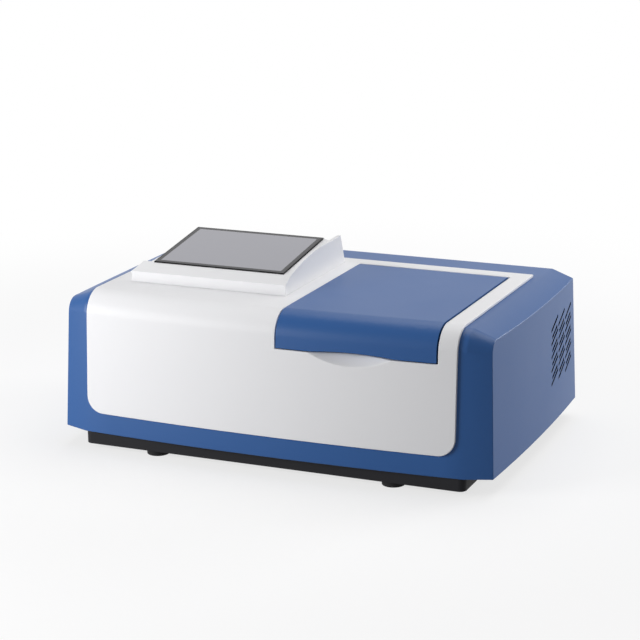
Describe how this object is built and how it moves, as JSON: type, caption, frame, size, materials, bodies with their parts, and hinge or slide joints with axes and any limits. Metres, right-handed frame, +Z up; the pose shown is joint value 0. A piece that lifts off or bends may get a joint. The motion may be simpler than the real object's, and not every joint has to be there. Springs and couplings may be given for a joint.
{
  "type": "uv-vis spectrophotometer",
  "caption": "Double-beam ultraviolet-visible spectrophotometer with a hinged sample lid, a tilted display, a grating drive, lamps, filters and paired cell holders.",
  "frame": {"origin": "on the table under the middle of the case", "axes": "+X to the right as seen from the front, +Y to the back, +Z up"},
  "size_m": [0.608, 0.3769, 0.2542],
  "materials": {
    "case_blue": "satin",
    "fascia_white": "satin",
    "housing_grey": "satin",
    "base_black": "matt, fine grained",
    "tub_black": "matt",
    "liner_black": "matt",
    "seal_rubber": "matt",
    "holder_black": "black anodised",
    "optics_black": "black anodised casting",
    "bench_aluminium": "machined",
    "lamp_aluminium": "folded sheet",
    "motor_steel": "plated",
    "steel": "zinc plated",
    "gear_brass": "machined",
    "mirror_face": "first-surface mirror",
    "quartz": "clear",
    "screen_glass": "clear over a dark border",
    "socket_ceramic": "glazed ceramic",
    "board_green": "solder resist",
    "rear_grey": "powder coated",
    "inlet_black": "moulded"
  },
  "bodies": {
    "cabinet": {"case_shell": "case_blue", "fascia_panel": "fascia_white", "lid_seal": "seal_rubber", "hinge_brackets": "steel", "sample_tub": "tub_black", "tub_windows": "quartz", "cell_plate": "bench_aluminium", "sample_cell_holder": "holder_black", "reference_cell_holder": "holder_black", "base_tray": "base_black", "rubber_feet": "seal_rubber", "foot_screws": "steel", "optical_bench": "bench_aluminium", "bench_pillars": "steel", "monochromator_housing": "optics_black", "slit_plates": "holder_black", "monochromator_cover": "optics_black", "mirror_mounts": "holder_black", "concave_mirrors": "mirror_face", "grating_motor": "motor_steel", "filter_motor": "motor_steel", "filter_motor_saddle": "bench_aluminium", "lamp_housing": "lamp_aluminium", "lamp_cover": "lamp_aluminium", "deuterium_lamp": "quartz", "tungsten_lamp": "quartz", "lamp_sockets": "socket_ceramic", "source_mirror_motor": "motor_steel", "beam_splitter": "mirror_face", "fold_mirror": "mirror_face", "optics_posts": "holder_black", "detector_heads": "holder_black", "photodiodes": "quartz", "detector_board": "board_green", "power_supply": "lamp_aluminium", "main_board": "board_green", "display_housing": "housing_grey", "display_glass": "screen_glass", "display_panel": "motor_steel", "display_board": "board_green", "rear_panel": "rear_grey", "data_sockets": "steel", "power_inlet": "inlet_black", "fan_frame": "inlet_black", "fan_guard": "steel", "fan_screws": "steel"},
    "lid": {"sample_lid": "case_blue", "lid_liner": "liner_black", "hinge_leaves": "steel", "hinge_pins": "steel"},
    "grating": {"grating_turret": "steel", "diffraction_grating": "mirror_face", "sector_gear": "gear_brass"},
    "pinion": {"drive_pinion": "steel"},
    "filters": {"filter_wheel": "holder_black", "optical_filters": "quartz"},
    "swing_mirror": {"source_mirror": "mirror_face"},
    "rotor": {"fan_rotor": "inlet_black"},
    "rocker": {"power_rocker": "inlet_black"},
    "fuse_tray": {"fuse_drawer": "inlet_black"}
  },
  "joints": [
    {"name": "lid_hinge", "type": "hinge", "parent": "cabinet", "child": "lid", "pos_m": [0.1225, 0.0978, 0.20428], "axis": [-1, 0, 0], "range_deg": [0, 85]},
    {"name": "grating_turn", "type": "hinge", "parent": "cabinet", "child": "grating", "pos_m": [-0.075, 0.0543, 0.089], "axis": [0, 0, 1], "range_deg": [-18, 18]},
    {"name": "pinion_turn", "type": "hinge", "parent": "cabinet", "child": "pinion", "pos_m": [-0.075, 0.0003, 0.089], "axis": [0, 0, 1], "range_deg": [-90, 90]},
    {"name": "filter_turn", "type": "hinge", "parent": "cabinet", "child": "filters", "pos_m": [0.044, 0.0923, 0.103], "axis": [1, 0, 0], "continuous": true},
    {"name": "source_select", "type": "hinge", "parent": "cabinet", "child": "swing_mirror", "pos_m": [0.21, 0.0923, 0.124], "axis": [0, 0, 1], "range_deg": [0, 45]},
    {"name": "fan_spin", "type": "hinge", "parent": "cabinet", "child": "rotor", "pos_m": [0.236, 0.178, 0.116], "axis": [0, 1, 0], "continuous": true},
    {"name": "rocker_tilt", "type": "hinge", "parent": "cabinet", "child": "rocker", "pos_m": [-0.205, 0.1818, 0.082], "axis": [-1, 0, 0], "range_deg": [0, 16]},
    {"name": "fuse_slide", "type": "slide", "parent": "cabinet", "child": "fuse_tray", "axis": [0, 1, 0], "range_m": [0, 0.012]}
  ],
  "couplings": [
    {"joint": "pinion_turn", "follows": "grating_turn", "ratio": -5}
  ]
}
